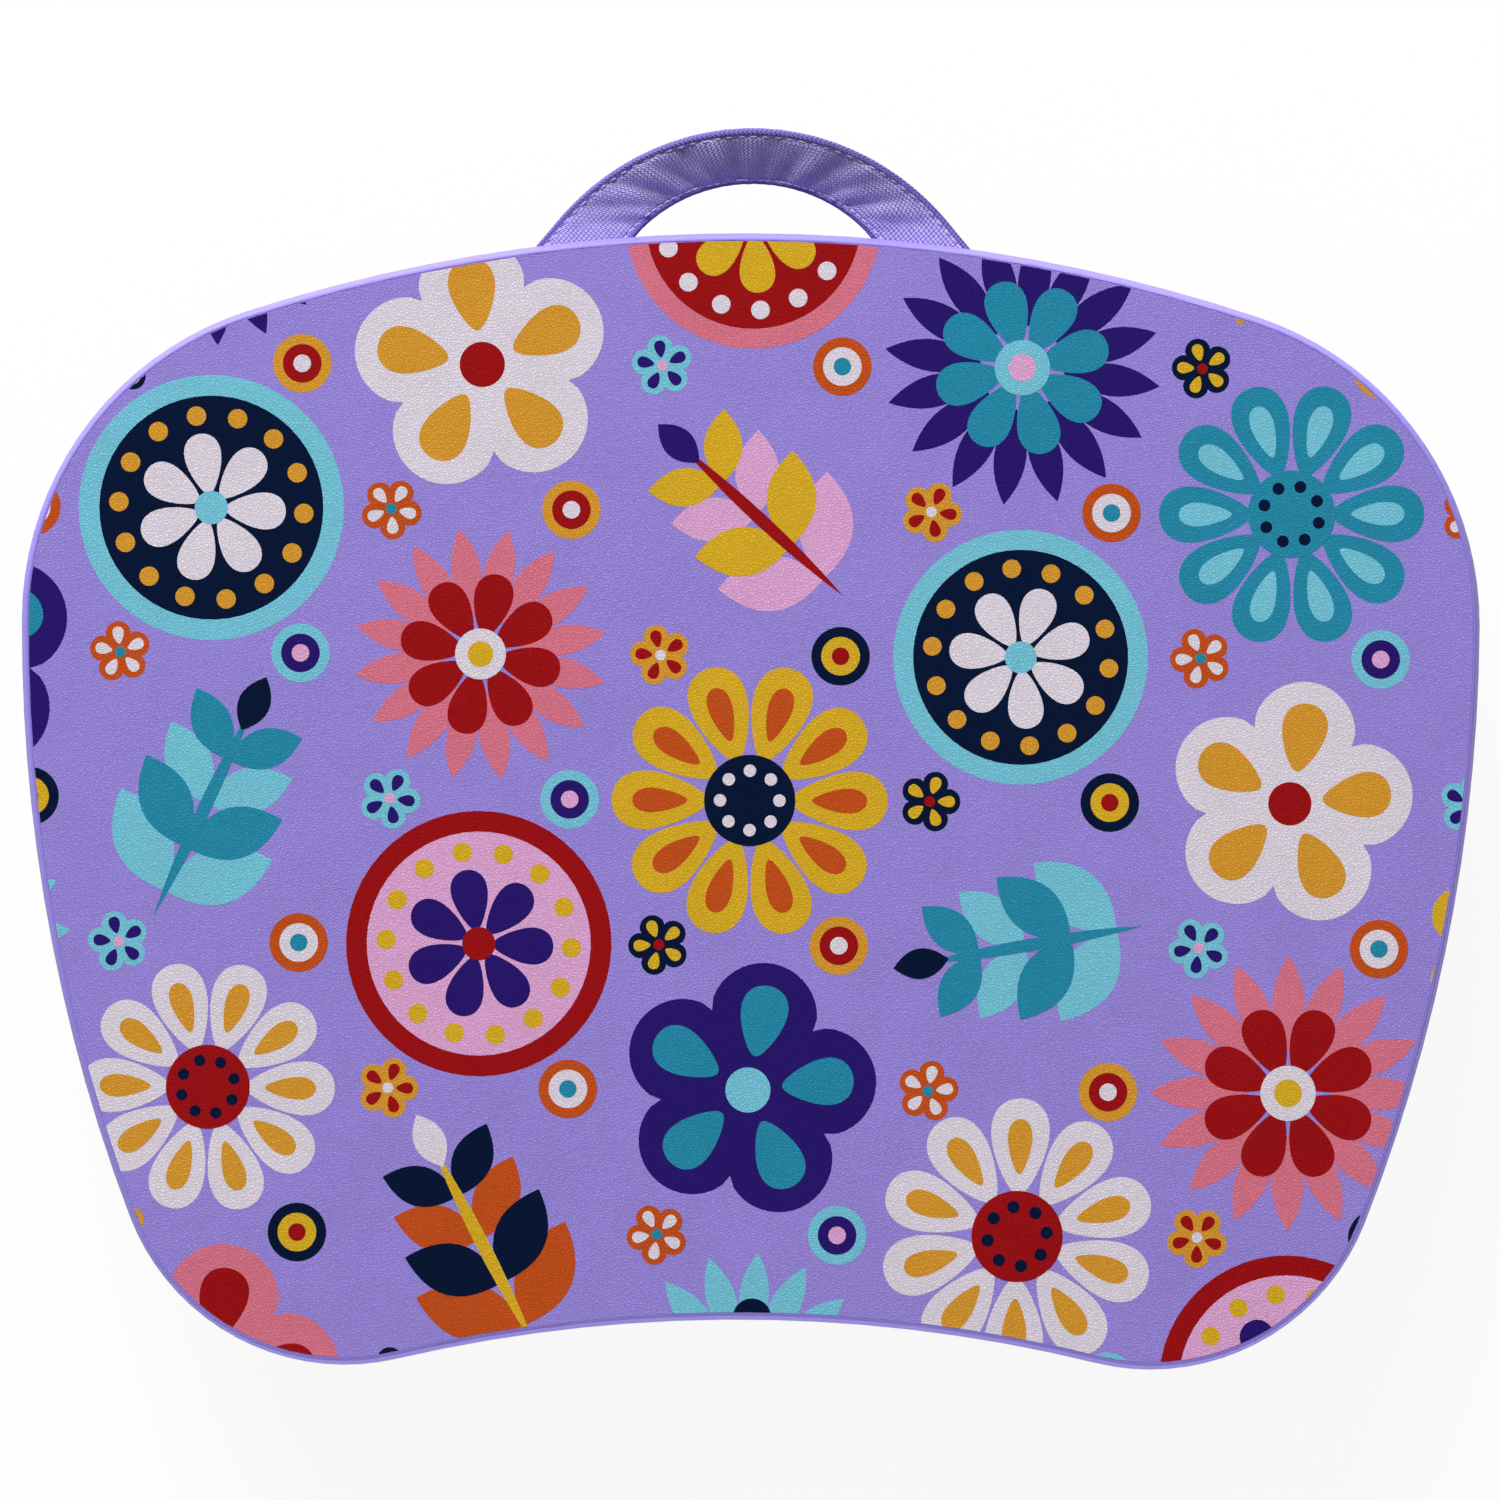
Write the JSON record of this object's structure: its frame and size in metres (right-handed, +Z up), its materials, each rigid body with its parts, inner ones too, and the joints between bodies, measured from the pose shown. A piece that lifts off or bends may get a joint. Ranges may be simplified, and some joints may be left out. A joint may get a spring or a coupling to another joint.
{
  "type": "lap tray with cushion",
  "caption": "Lap tray with a curved-front moulded top, a printed film, a fabric swing handle and a soft bolster cushion screwed on below, for a laptop or meal on the lap.",
  "frame": {"origin": "on the surface the cushion stands on, under the middle of the overall box of tray and handle", "axes": "+X to the user's right along the long side, +Y to the back where the handle is, +Z up out of the printed top"},
  "size_m": [0.45, 0.382, 0.064],
  "materials": {
    "tray_plastic": "satin",
    "film_print": "matte",
    "frame_plastic": "matte",
    "screw_steel": "satin",
    "backing_fabric": "matte",
    "cushion_fabric": "matte",
    "piping_fabric": "matte",
    "fill_fibre": "matte",
    "handle_fabric": "matte",
    "webbing": "matte"
  },
  "bodies": {
    "tray": {"tray_shell": "tray_plastic", "print_film": "film_print", "retainer_frame": "frame_plastic", "frame_screws": "screw_steel", "backing_cloth": "backing_fabric", "centre_panel": "cushion_fabric", "left_bolster_gusset": "cushion_fabric", "right_bolster_gusset": "cushion_fabric", "left_bolster_panel": "cushion_fabric", "right_bolster_panel": "cushion_fabric", "left_bolster_piping": "piping_fabric", "right_bolster_piping": "piping_fabric", "left_bolster_fill": "fill_fibre", "right_bolster_fill": "fill_fibre", "left_handle_tail": "handle_fabric", "right_handle_tail": "handle_fabric", "left_tail_clamp": "frame_plastic", "right_tail_clamp": "frame_plastic", "handle_screws": "screw_steel"},
    "handle": {"handle_sleeve": "handle_fabric", "handle_core": "webbing"}
  },
  "joints": [
    {"name": "handle_swing", "type": "hinge", "parent": "tray", "child": "handle", "pos_m": [0, 0.16, 0.0498], "axis": [1, 0, 0], "range_deg": [-85, 80]}
  ]
}
